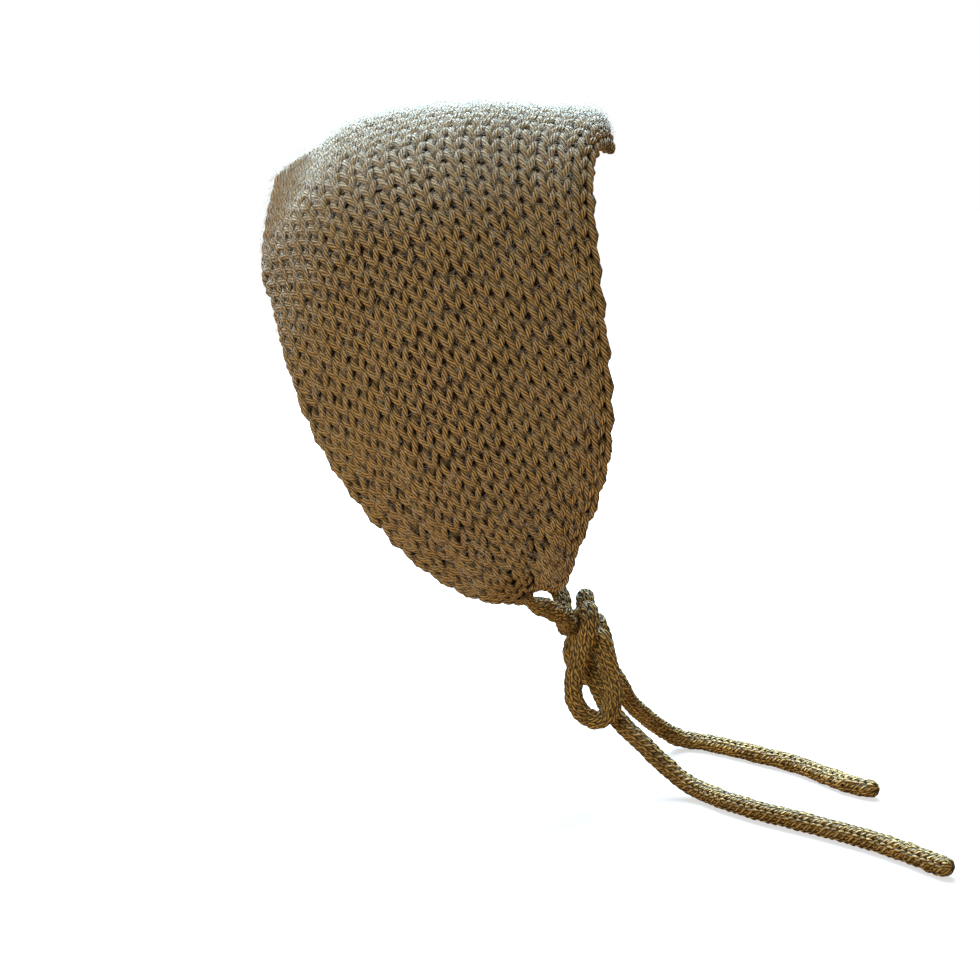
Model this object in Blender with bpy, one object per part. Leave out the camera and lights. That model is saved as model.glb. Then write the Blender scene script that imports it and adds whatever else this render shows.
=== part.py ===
"""Knitted bonnet with two tie cords, in the form that it has when it is worn.

One knitted strip lies folded over the crown, its back edges are sewn together above the nape, and each end
narrows into a knitted cord. The cords meet in a bow under the chin. The face opening looks along -Y, the
right side is at -X, and the origin is the highest point inside the crown. Lengths are in metres.
"""
from collections import namedtuple

import bmesh
import bpy
import numpy as np
from mathutils import Vector

HOOD_DEPTH = 0.148  # front rim to nape
HOOD_HEIGHT = 0.205  # crown to the lowest hem
HOOD_WIDTH = 0.155  # across the ears, outside
WALL = 0.0045  # thickness of the knitted fabric
RIM_ROUND = 0.0012  # how far the middle of a knitted edge stands past its corners
TIE_DIAMETER = 0.00765
KNOT_SQUEEZE = 0.75  # a cord at the knot, as a share of TIE_DIAMETER
ROOT_SQUEEZE = 0.58  # a cord where it leaves the hood, as a share of TIE_DIAMETER
SQUEEZE_LENGTH = 0.007  # the stretch over which a cord swells to its full diameter
LEAD = 0.65  # how far a cord runs straight where it starts, as a share of TIE_DIAMETER
GAP = 0.0003  # between two pieces that touch

ROWS = 40  # mesh rows on each side of the crown
COLUMNS = 22  # mesh columns from the front edge to the back edge
CORD_STEP = 0.0046  # between two points of a cord
CORD_SIDES = 3  # bevel resolution: ten sides
CORD_SAMPLES = 400  # points at which a cord's curve is measured
KNOT_SPOKES = 12  # corners of the face that the knot turns to a cord
SHELL_LIMIT = 1.5  # the most that the wall is stretched at a sharp bend

# The strip is read at six stations across it, from the front edge to the back edge.
STATIONS = (0.0, 0.1, 0.25, 0.5, 0.75, 1.0)
Section = namedtuple("Section", "along front brim fore side rear back")

# A row for each section of the strip from the crown (0) down one side to the tie (1).
# OUT gives the distance from the centre plane as shares of half HOOD_WIDTH.
OUT = (
    Section(0.000, 0.000, 0.000, 0.000, 0.000, 0.000, 0.000),
    Section(0.050, 0.150, 0.150, 0.155, 0.155, 0.142, 0.000),
    Section(0.100, 0.310, 0.310, 0.299, 0.303, 0.271, 0.000),
    Section(0.150, 0.445, 0.458, 0.432, 0.441, 0.381, 0.000),
    Section(0.250, 0.645, 0.671, 0.645, 0.665, 0.561, 0.265),
    Section(0.375, 0.800, 0.826, 0.826, 0.865, 0.735, 0.510),
    Section(0.500, 0.843, 0.884, 0.910, 0.961, 0.839, 0.668),
    Section(0.625, 0.843, 0.897, 0.942, 1.000, 0.916, 0.710),
    Section(0.750, 0.785, 0.845, 0.910, 0.981, 0.897, 0.705),
    Section(0.854, 0.723, 0.774, 0.832, 0.897, 0.826, 0.671),
    Section(0.938, 0.650, 0.693, 0.742, 0.787, 0.742, 0.636),
    Section(1.000, 0.588, 0.589, 0.590, 0.591, 0.590, 0.588),
)
# BACK gives the distance behind the origin as shares of HOOD_DEPTH.
BACK = (
    Section(0.000, -0.381, -0.341, -0.189, 0.081, 0.345, 0.574),
    Section(0.050, -0.366, -0.331, -0.176, 0.088, 0.365, 0.592),
    Section(0.100, -0.341, -0.311, -0.155, 0.101, 0.392, 0.608),
    Section(0.150, -0.318, -0.280, -0.135, 0.115, 0.419, 0.616),
    Section(0.250, -0.307, -0.240, -0.095, 0.149, 0.409, 0.578),
    Section(0.375, -0.321, -0.240, -0.101, 0.135, 0.382, 0.534),
    Section(0.500, -0.343, -0.267, -0.135, 0.095, 0.318, 0.466),
    Section(0.625, -0.355, -0.287, -0.182, 0.041, 0.230, 0.365),
    Section(0.750, -0.327, -0.284, -0.209, -0.014, 0.142, 0.234),
    Section(0.854, -0.272, -0.247, -0.196, -0.061, 0.041, 0.108),
    Section(0.938, -0.228, -0.211, -0.176, -0.101, -0.044, -0.007),
    Section(1.000, -0.158, -0.153, -0.147, -0.137, -0.126, -0.115),
)
# DROP gives the distance below the top of the crown as shares of HOOD_HEIGHT.
DROP = (
    Section(0.000, 0.090, 0.019, 0.006, 0.000, 0.040, 0.149),
    Section(0.050, 0.081, 0.025, 0.006, 0.004, 0.056, 0.207),
    Section(0.100, 0.082, 0.039, 0.022, 0.020, 0.093, 0.264),
    Section(0.150, 0.102, 0.068, 0.050, 0.048, 0.134, 0.321),
    Section(0.250, 0.183, 0.154, 0.134, 0.127, 0.207, 0.390),
    Section(0.375, 0.322, 0.290, 0.263, 0.249, 0.344, 0.488),
    Section(0.500, 0.459, 0.432, 0.407, 0.390, 0.476, 0.610),
    Section(0.625, 0.605, 0.578, 0.551, 0.537, 0.602, 0.734),
    Section(0.750, 0.747, 0.724, 0.700, 0.690, 0.751, 0.851),
    Section(0.854, 0.858, 0.839, 0.820, 0.810, 0.859, 0.929),
    Section(0.938, 0.946, 0.934, 0.917, 0.907, 0.937, 0.973),
    Section(1.000, 0.951, 0.955, 0.960, 0.969, 0.978, 0.986),
)
SEAM_SECTION = 3  # the section at the lower end of the back seam
SEAM_ROW = round(OUT[SEAM_SECTION].along * ROWS)

# A row for each fold. It runs from one place on the strip to another, given along and across it. Its width is
# a share of the strip's width, and its depth a share of WALL, outwards where it is positive.
Fold = namedtuple("Fold", "start start_across end end_across width depth")
FOLDS = (
    Fold(-0.16, 0.87, 0.16, 0.84, 0.050, -0.45),  # dent behind the crown
    Fold(0.58, 0.74, 0.97, 0.80, 0.045, 0.35),  # ridge below the ear
    Fold(0.60, 0.83, 0.97, 0.88, 0.040, -0.45),  # hollow behind that ridge
    Fold(0.78, 0.33, 0.98, 0.36, 0.050, -0.60),  # crease by the jaw
    Fold(0.78, 0.20, 0.98, 0.24, 0.060, 0.35),  # puff in front of that crease
    Fold(0.84, 0.60, 0.98, 0.56, 0.040, -0.35),  # gather towards the tie
)
FOLD_FADE = 0.7  # how fast a fold rises from its ends, faster where it is smaller
INNER_FOLD = 0.6  # how much of a fold shows on the inside

# The knot, from the origin, and where each cord meets it, as shares of TIE_DIAMETER from its centre.
Place = namedtuple("Place", "out back up")
KNOT = Place(0.0, -0.0450, -0.2145)
PORTS = {
    "standing": Place(0.76, 0.55, 0.00),
    "loop_back": Place(0.68, -0.04, 0.52),
    "loop_front": Place(0.76, -0.48, -0.34),
    "tail": Place(0.40, 0.12, -0.82),
}

# The cords' routes between their ends, each on its own side: distance from the centre plane, back, up.
STANDING_ROUTE = (
    Place(0.0330, -0.0285, -0.2012),
    Place(0.0225, -0.0350, -0.2070),
)
RIGHT_LOOP_ROUTE = (
    Place(0.0146, -0.0462, -0.2068),
    Place(0.0184, -0.0466, -0.2103),
    Place(0.0199, -0.0453, -0.2165),
    Place(0.0203, -0.0422, -0.2250),
    Place(0.0212, -0.0395, -0.2360),
    Place(0.0220, -0.0410, -0.2455),
    Place(0.0222, -0.0460, -0.2510),
    Place(0.0220, -0.0512, -0.2520),
    Place(0.0210, -0.0556, -0.2480),
    Place(0.0195, -0.0570, -0.2400),
    Place(0.0175, -0.0550, -0.2300),
    Place(0.0158, -0.0528, -0.2225),
    Place(0.0135, -0.0511, -0.2180),
)
LEFT_LOOP_ROUTE = (
    Place(0.0146, -0.0460, -0.2073),
    Place(0.0184, -0.0464, -0.2108),
    Place(0.0202, -0.0452, -0.2168),
    Place(0.0215, -0.0430, -0.2245),
    Place(0.0230, -0.0405, -0.2330),
    Place(0.0240, -0.0425, -0.2415),
    Place(0.0243, -0.0472, -0.2460),
    Place(0.0238, -0.0522, -0.2460),
    Place(0.0225, -0.0560, -0.2410),
    Place(0.0203, -0.0557, -0.2325),
    Place(0.0182, -0.0538, -0.2250),
    Place(0.0160, -0.0522, -0.2205),
    Place(0.0136, -0.0510, -0.2177),
)
RIGHT_TAIL_ROUTE = (
    Place(0.0062, -0.0460, -0.2300),
    Place(0.0062, -0.0487, -0.2365),
    Place(0.0055, -0.0517, -0.2437),
    Place(0.0065, -0.0552, -0.2514),
    Place(0.0080, -0.0604, -0.2572),
    Place(0.0100, -0.0689, -0.2651),
    Place(0.0140, -0.0800, -0.2751),
    Place(0.0180, -0.0878, -0.2808),
    Place(0.0240, -0.0948, -0.2830),
    Place(0.0336, -0.1020, -0.2832),
    Place(0.0475, -0.1145, -0.2832),
    Place(0.0598, -0.1293, -0.2832),
    Place(0.0706, -0.1418, -0.2832),
    Place(0.0822, -0.1542, -0.2832),
    Place(0.0957, -0.1658, -0.2832),
    Place(0.1080, -0.1745, -0.2832),
    Place(0.1155, -0.1805, -0.2832),
)
LEFT_TAIL_ROUTE = (
    Place(0.0068, -0.0463, -0.2290),
    Place(0.0088, -0.0525, -0.2360),
    Place(0.0120, -0.0597, -0.2432),
    Place(0.0190, -0.0656, -0.2548),
    Place(0.0320, -0.0743, -0.2665),
    Place(0.0435, -0.0835, -0.2762),
    Place(0.0492, -0.0920, -0.2822),
    Place(0.0478, -0.1010, -0.2832),
    Place(0.0405, -0.1115, -0.2832),
    Place(0.0285, -0.1248, -0.2832),
    Place(0.0160, -0.1385, -0.2832),
    Place(-0.0010, -0.1506, -0.2832),
    Place(-0.0139, -0.1594, -0.2832),
    Place(-0.0219, -0.1700, -0.2832),
)
# The round end of a free cord: how far from its tip, and how thick, as shares of TIE_DIAMETER.
Tip = namedtuple("Tip", "inset thickness")
TIPS = (Tip(0.34, 1.0), Tip(0.16, 0.90), Tip(0.05, 0.72), Tip(0.0, 0.45))

FABRIC_COLOUR = (0.33, 0.22, 0.11, 1.0)
CORD_COLOUR = (0.30, 0.19, 0.09, 1.0)
YARN_ROUGHNESS = 0.75


def clear_scene():
    """Remove every object that the scene starts with."""
    for item in list(bpy.data.objects):
        bpy.data.objects.remove(item, do_unlink=True)


def material(name, colour):
    """A plain yarn material."""
    made = bpy.data.materials.new(name)
    made.use_nodes = True
    shader = made.node_tree.nodes["Principled BSDF"]
    shader.inputs["Base Color"].default_value = colour
    shader.inputs["Roughness"].default_value = YARN_ROUGHNESS
    return made


def spline(keys, values, at):
    """Read a smooth curve that passes through values, one for each key, at the given places."""
    keys = np.asarray(keys, float)
    values = np.asarray(values, float)
    at = np.asarray(at, float)
    steps = np.diff(keys)[:, None]
    slopes = np.diff(values, axis=0) / steps
    tangents = np.empty_like(values)
    tangents[1:-1] = (slopes[:-1] * steps[1:] + slopes[1:] * steps[:-1]) / (steps[:-1] + steps[1:])
    tangents[0] = 1.5 * slopes[0] - 0.5 * tangents[1]
    tangents[-1] = 1.5 * slopes[-1] - 0.5 * tangents[-2]
    index = np.clip(np.searchsorted(keys, at, side="right") - 1, 0, len(keys) - 2)
    width = steps[index]
    t = (at - keys[index])[:, None] / width
    start_weight = (1 + 2 * t) * (1 - t) ** 2
    start_slope = t * (1 - t) ** 2
    end_slope = t ** 2 * (t - 1)
    return (values[index] * start_weight + values[index + 1] * (1 - start_weight)
            + width * (tangents[index] * start_slope + tangents[index + 1] * end_slope))


def mirrored_past_crown(table, sign):
    """The sections of a table with the first two repeated on the other side of the crown."""
    rows = np.array(table)
    beyond = rows[2:0:-1].copy()
    beyond[:, 0] *= -1
    beyond[:, 1:] *= sign
    return np.vstack((beyond, rows))


def stations_at(alongs):
    """Out, back and up of every station at each place along the strip."""
    out = mirrored_past_crown(OUT, -1)
    back = mirrored_past_crown(BACK, 1)
    drop = mirrored_past_crown(DROP, 1)
    outs = spline(out[:, 0], out[:, 1:], alongs)
    free_edge = np.array(OUT)[SEAM_SECTION:]
    opened = spline(free_edge[:, 0], free_edge[:, -1:], alongs)[:, 0]
    outs[:, -1] = np.where(alongs > free_edge[0, 0], opened, 0.0)
    backs = spline(back[:, 0], back[:, 1:], alongs)
    drops = spline(drop[:, 0], drop[:, 1:], alongs)
    return np.stack((outs * HOOD_WIDTH / 2, backs * HOOD_DEPTH, WALL - drops * HOOD_HEIGHT), axis=2)


def strip_surface(alongs, acrosses):
    """The outside of one half of the strip, before its folds, as rows of out, back and up."""
    return np.array([spline(STATIONS, row, acrosses) for row in stations_at(alongs)])


def fold_depths(alongs, acrosses):
    """How far the folds push each point of one half outwards."""
    along, across = np.meshgrid(alongs, acrosses, indexing="ij")
    depths = np.zeros_like(along)
    for fold in FOLDS:
        share = np.clip((along - fold.start) / (fold.end - fold.start), 0.0, 1.0)
        middle = fold.start_across + share * (fold.end_across - fold.start_across)
        fade = np.sin(np.pi * share) ** FOLD_FADE
        depths += fold.depth * WALL * fade * np.exp(-((across - middle) / fold.width) ** 2)
    return depths


def seam_key(row, column):
    """The grid place of a vertex: on the back seam both halves share their vertices."""
    if column == COLUMNS and abs(row) <= SEAM_ROW:
        return abs(row), column
    return row, column


def outer_sheet(bm, half):
    """Make the outside of the whole strip, and return its vertices by grid place."""
    vertices = {}
    for row in range(-ROWS, ROWS + 1):
        side = -1 if row < 0 else 1
        for column in range(COLUMNS + 1):
            key = seam_key(row, column)
            if key not in vertices:
                out, back, up = half[abs(row), column]
                vertices[key] = bm.verts.new((side * out, back, up))
    for row in range(-ROWS, ROWS):
        for column in range(COLUMNS):
            corners = ((row, column), (row + 1, column), (row + 1, column + 1), (row, column + 1))
            bm.faces.new([vertices[seam_key(*corner)] for corner in corners])
    bm.normal_update()
    return vertices


def inner_sheet(bm, outer, push):
    """Make the inside of the strip one wall below the outside, and push the folds into both."""
    inner = {}
    places = {}
    end_normals = {row: outer[row, COLUMNS // 2].normal.copy() for row in (-ROWS, ROWS)}
    for key, vertex in outer.items():
        normal = end_normals.get(key[0], vertex.normal).copy()
        depth = push[abs(key[0]), key[1]]
        stretch = 1.0 if key[0] in end_normals else min(vertex.calc_shell_factor(), SHELL_LIMIT)
        reach = WALL * stretch - INNER_FOLD * depth
        inner[key] = bm.verts.new(vertex.co - normal * reach)
        places[key] = vertex.co + normal * depth
    for key, place in places.items():
        outer[key].co = place
    for row in range(-ROWS, ROWS):
        for column in range(COLUMNS):
            corners = ((row, column), (row, column + 1), (row + 1, column + 1), (row + 1, column))
            bm.faces.new([inner[seam_key(*corner)] for corner in corners])
    return inner


def rounded_edge(bm, outer, inner, rows, column, inward):
    """Close one long edge of the strip with a lip that stands out at its middle."""
    middles = {}
    for row in rows:
        key = seam_key(row, column)
        lip = outer[key].co - outer[seam_key(row, inward)].co
        if column == COLUMNS and abs(row) <= SEAM_ROW:
            lip.x = 0.0
        middles[row] = (outer[key].co + inner[key].co) / 2 + lip.normalized() * RIM_ROUND
    made = {}
    for row in rows:
        key = seam_key(row, column)
        if key not in made:
            made[key] = bm.verts.new(middles[row])
    for row, following in zip(rows, rows[1:]):
        if following != row + 1:
            continue
        near, far = seam_key(row, column), seam_key(following, column)
        bm.faces.new((outer[near], outer[far], made[far], made[near]))
        bm.faces.new((made[near], made[far], inner[far], inner[near]))
    return made


def strip_end(bm, outer, inner, front_lip, back_lip, row):
    """Close the narrow end of the strip, where the tie begins."""
    for column in range(COLUMNS):
        bm.faces.new((outer[row, column], outer[row, column + 1], inner[row, column + 1], inner[row, column]))
    bm.faces.new((outer[row, 0], inner[row, 0], front_lip[row, 0]))
    bm.faces.new((outer[row, COLUMNS], inner[row, COLUMNS], back_lip[row, COLUMNS]))


def hood_object(yarn):
    """The knitted strip as one closed wall, and the place and direction where each tie leaves it."""
    alongs = np.linspace(0.0, 1.0, ROWS + 1)
    acrosses = np.linspace(0.0, 1.0, COLUMNS + 1)
    bm = bmesh.new()
    outer = outer_sheet(bm, strip_surface(alongs, acrosses))
    inner = inner_sheet(bm, outer, fold_depths(alongs, acrosses))
    all_rows = list(range(-ROWS, ROWS + 1))
    free_rows = [row for row in all_rows if abs(row) >= SEAM_ROW]
    front_lip = rounded_edge(bm, outer, inner, all_rows, 0, 1)
    back_lip = rounded_edge(bm, outer, inner, free_rows, COLUMNS, COLUMNS - 1)
    for row in (-ROWS, ROWS):
        strip_end(bm, outer, inner, front_lip, back_lip, row)
    middle = COLUMNS // 2
    centre = (outer[ROWS, middle].co + inner[ROWS, middle].co) / 2
    along_edge = outer[ROWS, COLUMNS].co - outer[ROWS, 0].co
    through_wall = outer[ROWS, middle].co - inner[ROWS, middle].co
    leaving = along_edge.cross(through_wall).normalized()
    if leaving.dot(centre - outer[ROWS - 1, middle].co) < 0:
        leaving.negate()
    bmesh.ops.recalc_face_normals(bm, faces=bm.faces[:])
    add_mesh(bm, "hood", yarn)
    return centre, leaving


def add_mesh(bm, name, yarn):
    """Turn a bmesh into a named object with its material."""
    mesh = bpy.data.meshes.new(name)
    bm.to_mesh(mesh)
    bm.free()
    mesh.materials.append(yarn)
    made = bpy.data.objects.new(name, mesh)
    bpy.context.scene.collection.objects.link(made)
    return made


def on_side(place, side):
    """A place measured out from the centre plane, as a point on the given side."""
    return Vector((side * place.out, place.back, place.up))


def port(name, side):
    """Where a cord meets the knot, and the direction in which it leaves."""
    offset = on_side(PORTS[name], side) * TIE_DIAMETER
    return on_side(KNOT, side) + offset, offset.normalized()


def leave(name, side):
    """The first two points of a cord that comes out of the knot."""
    place, direction = port(name, side)
    return [place + direction * GAP, place + direction * (GAP + LEAD * TIE_DIAMETER)]


def cord_object(name, points, start_share, end_share, yarn):
    """A tube through the points, with the given shares of its diameter at its ends. None is a free end."""
    points = np.array([tuple(point) for point in points])
    keys = np.concatenate(([0.0], np.cumsum(np.linalg.norm(np.diff(points, axis=0), axis=1))))
    fine = spline(keys, points, np.linspace(0.0, keys[-1], CORD_SAMPLES))
    distance = np.concatenate(([0.0], np.cumsum(np.linalg.norm(np.diff(fine, axis=0), axis=1))))
    length = distance[-1]
    at = np.linspace(0.0, length, max(3, round(length / CORD_STEP)) + 1)
    if end_share is None:
        tips = length - np.array([tip.inset for tip in TIPS]) * TIE_DIAMETER
        at = np.concatenate((at[at < tips[0] - CORD_STEP / 2], tips))
    places = np.stack([np.interp(at, distance, fine[:, axis]) for axis in range(3)], axis=1)
    thickness = np.minimum(1.0, start_share + (1 - start_share) * at / SQUEEZE_LENGTH)
    if end_share is None:
        thickness[-len(TIPS):] = [tip.thickness for tip in TIPS]
    else:
        thickness = np.minimum(thickness, end_share + (1 - end_share) * (length - at) / SQUEEZE_LENGTH)
    curve = bpy.data.curves.new(name, "CURVE")
    curve.dimensions = "3D"
    curve.bevel_depth = TIE_DIAMETER / 2
    curve.bevel_resolution = CORD_SIDES
    curve.use_fill_caps = True
    line = curve.splines.new("POLY")
    line.points.add(len(places) - 1)
    for point, place, share in zip(line.points, places, thickness):
        point.co = (*place, 1.0)
        point.radius = share
    curve.materials.append(yarn)
    bpy.context.scene.collection.objects.link(bpy.data.objects.new(name, curve))


def ties(root, leaving, yarn):
    """The cords of both sides: standing part, loop of the bow and free tail."""
    for side_name, side, loop, tail in (("right", -1, RIGHT_LOOP_ROUTE, RIGHT_TAIL_ROUTE),
                                        ("left", 1, LEFT_LOOP_ROUTE, LEFT_TAIL_ROUTE)):
        start = Vector((side * root.x, root.y, root.z))
        direction = Vector((side * leaving.x, leaving.y, leaving.z))
        standing = [start + direction * GAP, start + direction * (GAP + LEAD * TIE_DIAMETER)]
        standing += [on_side(place, side) for place in STANDING_ROUTE]
        standing += leave("standing", side)[::-1]
        cord_object(f"tie_{side_name}_standing", standing, ROOT_SQUEEZE, KNOT_SQUEEZE, yarn)
        around = leave("loop_back", side) + [on_side(place, side) for place in loop]
        around += leave("loop_front", side)[::-1]
        cord_object(f"bow_loop_{side_name}", around, KNOT_SQUEEZE, KNOT_SQUEEZE, yarn)
        hanging = leave("tail", side) + [on_side(place, side) for place in tail]
        cord_object(f"tie_{side_name}_tail", hanging, KNOT_SQUEEZE, None, yarn)


def knot_object(yarn):
    """The knot as the tightest solid that has a flat face for each cord."""
    bm = bmesh.new()
    for side in (-1, 1):
        for name in PORTS:
            place, direction = port(name, side)
            turn = direction.to_track_quat("Z", "Y")
            for angle in np.linspace(0.0, 2 * np.pi, KNOT_SPOKES, endpoint=False):
                spoke = Vector((np.cos(angle), np.sin(angle), 0.0)) * TIE_DIAMETER * KNOT_SQUEEZE / 2
                bm.verts.new(place + turn @ spoke)
    hull = bmesh.ops.convex_hull(bm, input=bm.verts[:])
    unused = {item for item in hull["geom_interior"] + hull["geom_unused"] if isinstance(item, bmesh.types.BMVert)}
    bmesh.ops.delete(bm, geom=list(unused), context="VERTS")
    bmesh.ops.recalc_face_normals(bm, faces=bm.faces[:])
    add_mesh(bm, "bow_knot", yarn)


def main():
    """Build the bonnet."""
    clear_scene()
    fabric = material("knitted_fabric", FABRIC_COLOUR)
    cord = material("knitted_cord", CORD_COLOUR)
    root, leaving = hood_object(fabric)
    ties(root, leaving, cord)
    knot_object(cord)


main()
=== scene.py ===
"""Knitted bonnet in yarn: stocking stitch for the hood and round knitted cords for its ties.

Every stitch is a loop of yarn, laid along the strip that the hood is made of or around the line of a cord.
Lengths are in metres.
"""
import math
from collections import namedtuple

import bpy
import numpy as np
from mathutils import Euler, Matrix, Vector


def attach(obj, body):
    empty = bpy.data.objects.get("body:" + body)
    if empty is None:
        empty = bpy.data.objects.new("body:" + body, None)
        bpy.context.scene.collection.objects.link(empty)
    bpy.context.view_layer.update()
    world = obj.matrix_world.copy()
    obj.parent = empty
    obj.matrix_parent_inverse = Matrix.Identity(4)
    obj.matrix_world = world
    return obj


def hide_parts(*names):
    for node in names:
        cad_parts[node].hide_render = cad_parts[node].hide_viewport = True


bl_info = {
    "name": "Knitted bonnet",
    "version": (1, 0, 0),
    "blender": (4, 5, 0),
    "location": "3D View > Sidebar > Bonnet",
    "description": "Knits a bonnet with two tie cords, stitch by stitch",
    "category": "Object",
}

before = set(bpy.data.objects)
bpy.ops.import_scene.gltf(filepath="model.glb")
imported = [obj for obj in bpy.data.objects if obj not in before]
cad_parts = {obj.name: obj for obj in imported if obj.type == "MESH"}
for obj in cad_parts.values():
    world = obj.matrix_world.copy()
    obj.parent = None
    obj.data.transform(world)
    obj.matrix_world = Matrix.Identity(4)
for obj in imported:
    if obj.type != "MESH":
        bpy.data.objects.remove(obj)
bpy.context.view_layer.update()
ROOT = "root"

# The strip that the hood is made of, as the solid has it.
HOOD_DEPTH = 0.148
HOOD_HEIGHT = 0.205
HOOD_WIDTH = 0.155
WALL = 0.0045
STATIONS = (0.0, 0.1, 0.25, 0.5, 0.75, 1.0)
Section = namedtuple("Section", "along front brim fore side rear back")
OUT = (
    Section(0.000, 0.000, 0.000, 0.000, 0.000, 0.000, 0.000),
    Section(0.050, 0.150, 0.150, 0.155, 0.155, 0.142, 0.000),
    Section(0.100, 0.310, 0.310, 0.299, 0.303, 0.271, 0.000),
    Section(0.150, 0.445, 0.458, 0.432, 0.441, 0.381, 0.000),
    Section(0.250, 0.645, 0.671, 0.645, 0.665, 0.561, 0.265),
    Section(0.375, 0.800, 0.826, 0.826, 0.865, 0.735, 0.510),
    Section(0.500, 0.843, 0.884, 0.910, 0.961, 0.839, 0.668),
    Section(0.625, 0.843, 0.897, 0.942, 1.000, 0.916, 0.710),
    Section(0.750, 0.785, 0.845, 0.910, 0.981, 0.897, 0.705),
    Section(0.854, 0.723, 0.774, 0.832, 0.897, 0.826, 0.671),
    Section(0.938, 0.650, 0.693, 0.742, 0.787, 0.742, 0.636),
    Section(1.000, 0.588, 0.589, 0.590, 0.591, 0.590, 0.588),
)
BACK = (
    Section(0.000, -0.381, -0.341, -0.189, 0.081, 0.345, 0.574),
    Section(0.050, -0.366, -0.331, -0.176, 0.088, 0.365, 0.592),
    Section(0.100, -0.341, -0.311, -0.155, 0.101, 0.392, 0.608),
    Section(0.150, -0.318, -0.280, -0.135, 0.115, 0.419, 0.616),
    Section(0.250, -0.307, -0.240, -0.095, 0.149, 0.409, 0.578),
    Section(0.375, -0.321, -0.240, -0.101, 0.135, 0.382, 0.534),
    Section(0.500, -0.343, -0.267, -0.135, 0.095, 0.318, 0.466),
    Section(0.625, -0.355, -0.287, -0.182, 0.041, 0.230, 0.365),
    Section(0.750, -0.327, -0.284, -0.209, -0.014, 0.142, 0.234),
    Section(0.854, -0.272, -0.247, -0.196, -0.061, 0.041, 0.108),
    Section(0.938, -0.228, -0.211, -0.176, -0.101, -0.044, -0.007),
    Section(1.000, -0.158, -0.153, -0.147, -0.137, -0.126, -0.115),
)
DROP = (
    Section(0.000, 0.090, 0.019, 0.006, 0.000, 0.040, 0.149),
    Section(0.050, 0.081, 0.025, 0.006, 0.004, 0.056, 0.207),
    Section(0.100, 0.082, 0.039, 0.022, 0.020, 0.093, 0.264),
    Section(0.150, 0.102, 0.068, 0.050, 0.048, 0.134, 0.321),
    Section(0.250, 0.183, 0.154, 0.134, 0.127, 0.207, 0.390),
    Section(0.375, 0.322, 0.290, 0.263, 0.249, 0.344, 0.488),
    Section(0.500, 0.459, 0.432, 0.407, 0.390, 0.476, 0.610),
    Section(0.625, 0.605, 0.578, 0.551, 0.537, 0.602, 0.734),
    Section(0.750, 0.747, 0.724, 0.700, 0.690, 0.751, 0.851),
    Section(0.854, 0.858, 0.839, 0.820, 0.810, 0.859, 0.929),
    Section(0.938, 0.946, 0.934, 0.917, 0.907, 0.937, 0.973),
    Section(1.000, 0.951, 0.955, 0.960, 0.969, 0.978, 0.986),
)
SEAM_SECTION = 3
Fold = namedtuple("Fold", "start start_across end end_across width depth")
FOLDS = (
    Fold(-0.16, 0.87, 0.16, 0.84, 0.050, -0.45),
    Fold(0.58, 0.74, 0.97, 0.80, 0.045, 0.35),
    Fold(0.60, 0.83, 0.97, 0.88, 0.040, -0.45),
    Fold(0.78, 0.33, 0.98, 0.36, 0.050, -0.60),
    Fold(0.78, 0.20, 0.98, 0.24, 0.060, 0.35),
    Fold(0.84, 0.60, 0.98, 0.56, 0.040, -0.35),
)
FOLD_FADE = 0.7

# The grid of points on the strip, and how it is rounded and filled out at the fold and seam behind the
# crown. A pair tells where that begins and where it is whole, along one half of the strip or across its
# width.
STRIP_ROWS = 200
STRIP_COLUMNS = 120
SEAM_ROUNDING = 12
ROUNDED_ALONG = (0.21, 0.13)
ROUNDED_ACROSS = (0.66, 0.82)
SEAM_FILL = 0.0026
FILLED_ALONG = (0.34, 0.02)
FILLED_ACROSS = (0.45, 1.0)

# A stitch from the middle of the arc that it shares with its neighbour, at the back, up one leg at the
# front and over to the middle of its head, at the back again: across and up as shares of a stitch, out in
# yarn diameters. LOOP_SIZE, in millimetres, tells how far apart these places lie.
Pass = namedtuple("Pass", "across up out")
LOOP = (
    Pass(-0.50, -0.10, -0.36),
    Pass(-0.34, -0.11, -0.38),
    Pass(-0.20, 0.02, -0.20),
    Pass(-0.15, 0.22, 0.18),
    Pass(-0.21, 0.50, 0.36),
    Pass(-0.33, 0.80, 0.31),
    Pass(-0.42, 1.06, 0.06),
    Pass(-0.37, 1.28, -0.20),
    Pass(-0.20, 1.40, -0.36),
    Pass(0.00, 1.43, -0.40),
)
LOOP_SIZE = Pass(6.7, 6.9, 3.2)
HOOD_LOOP_POINTS = 9
CORD_LOOP_POINTS = 7
YARN_SIDES = 8

# The turn from one row to the next: past the edge and up as shares of a stitch, out in yarn diameters.
EDGE_TURN = (
    Pass(0.02, 0.15, -0.15),
    Pass(0.07, 0.45, 0.10),
    Pass(0.02, 0.75, -0.15),
)

# The hood's pieces from the left tie to the right one, each with the share of the rows after which it
# ends.
HOOD_PIECES = (
    ("knit_left", 0.27),
    ("knit_crown_left", 0.5),
    ("knit_crown_right", 0.73),
    ("knit_right", 1.0),
)

# How the rows fit on the strip: how sharply the number of wales stops growing, the fewest that a row has,
# what is added before its pairs of stitches are rounded down, how uneven the stitches are, and how many
# wales at an edge take up the spare width.
LENGTH_SAMPLES = 4001
LIMIT_SHARPNESS = 2
FEWEST_WALES = 3
COUNT_ROUNDING = 0.35
LIFT_WAVER = 0.07
LEAN_WAVER = 0.055
EDGE_WALES = 3

# Along the sewn seam the stitches make room for those of the other edge, in yarn diameters: not at all at
# the first share of the width from its middle, and fully at the second. On top of the crown the yarn is
# thicker.
SEAM_LENGTH = 0.037
SEAM_SIDE = (0.25, 0.5)
SEAM_ROOM = 0.4
CROWN_YARN = 0.18
CROWN_REACH = (0.45, 0.0)

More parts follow.
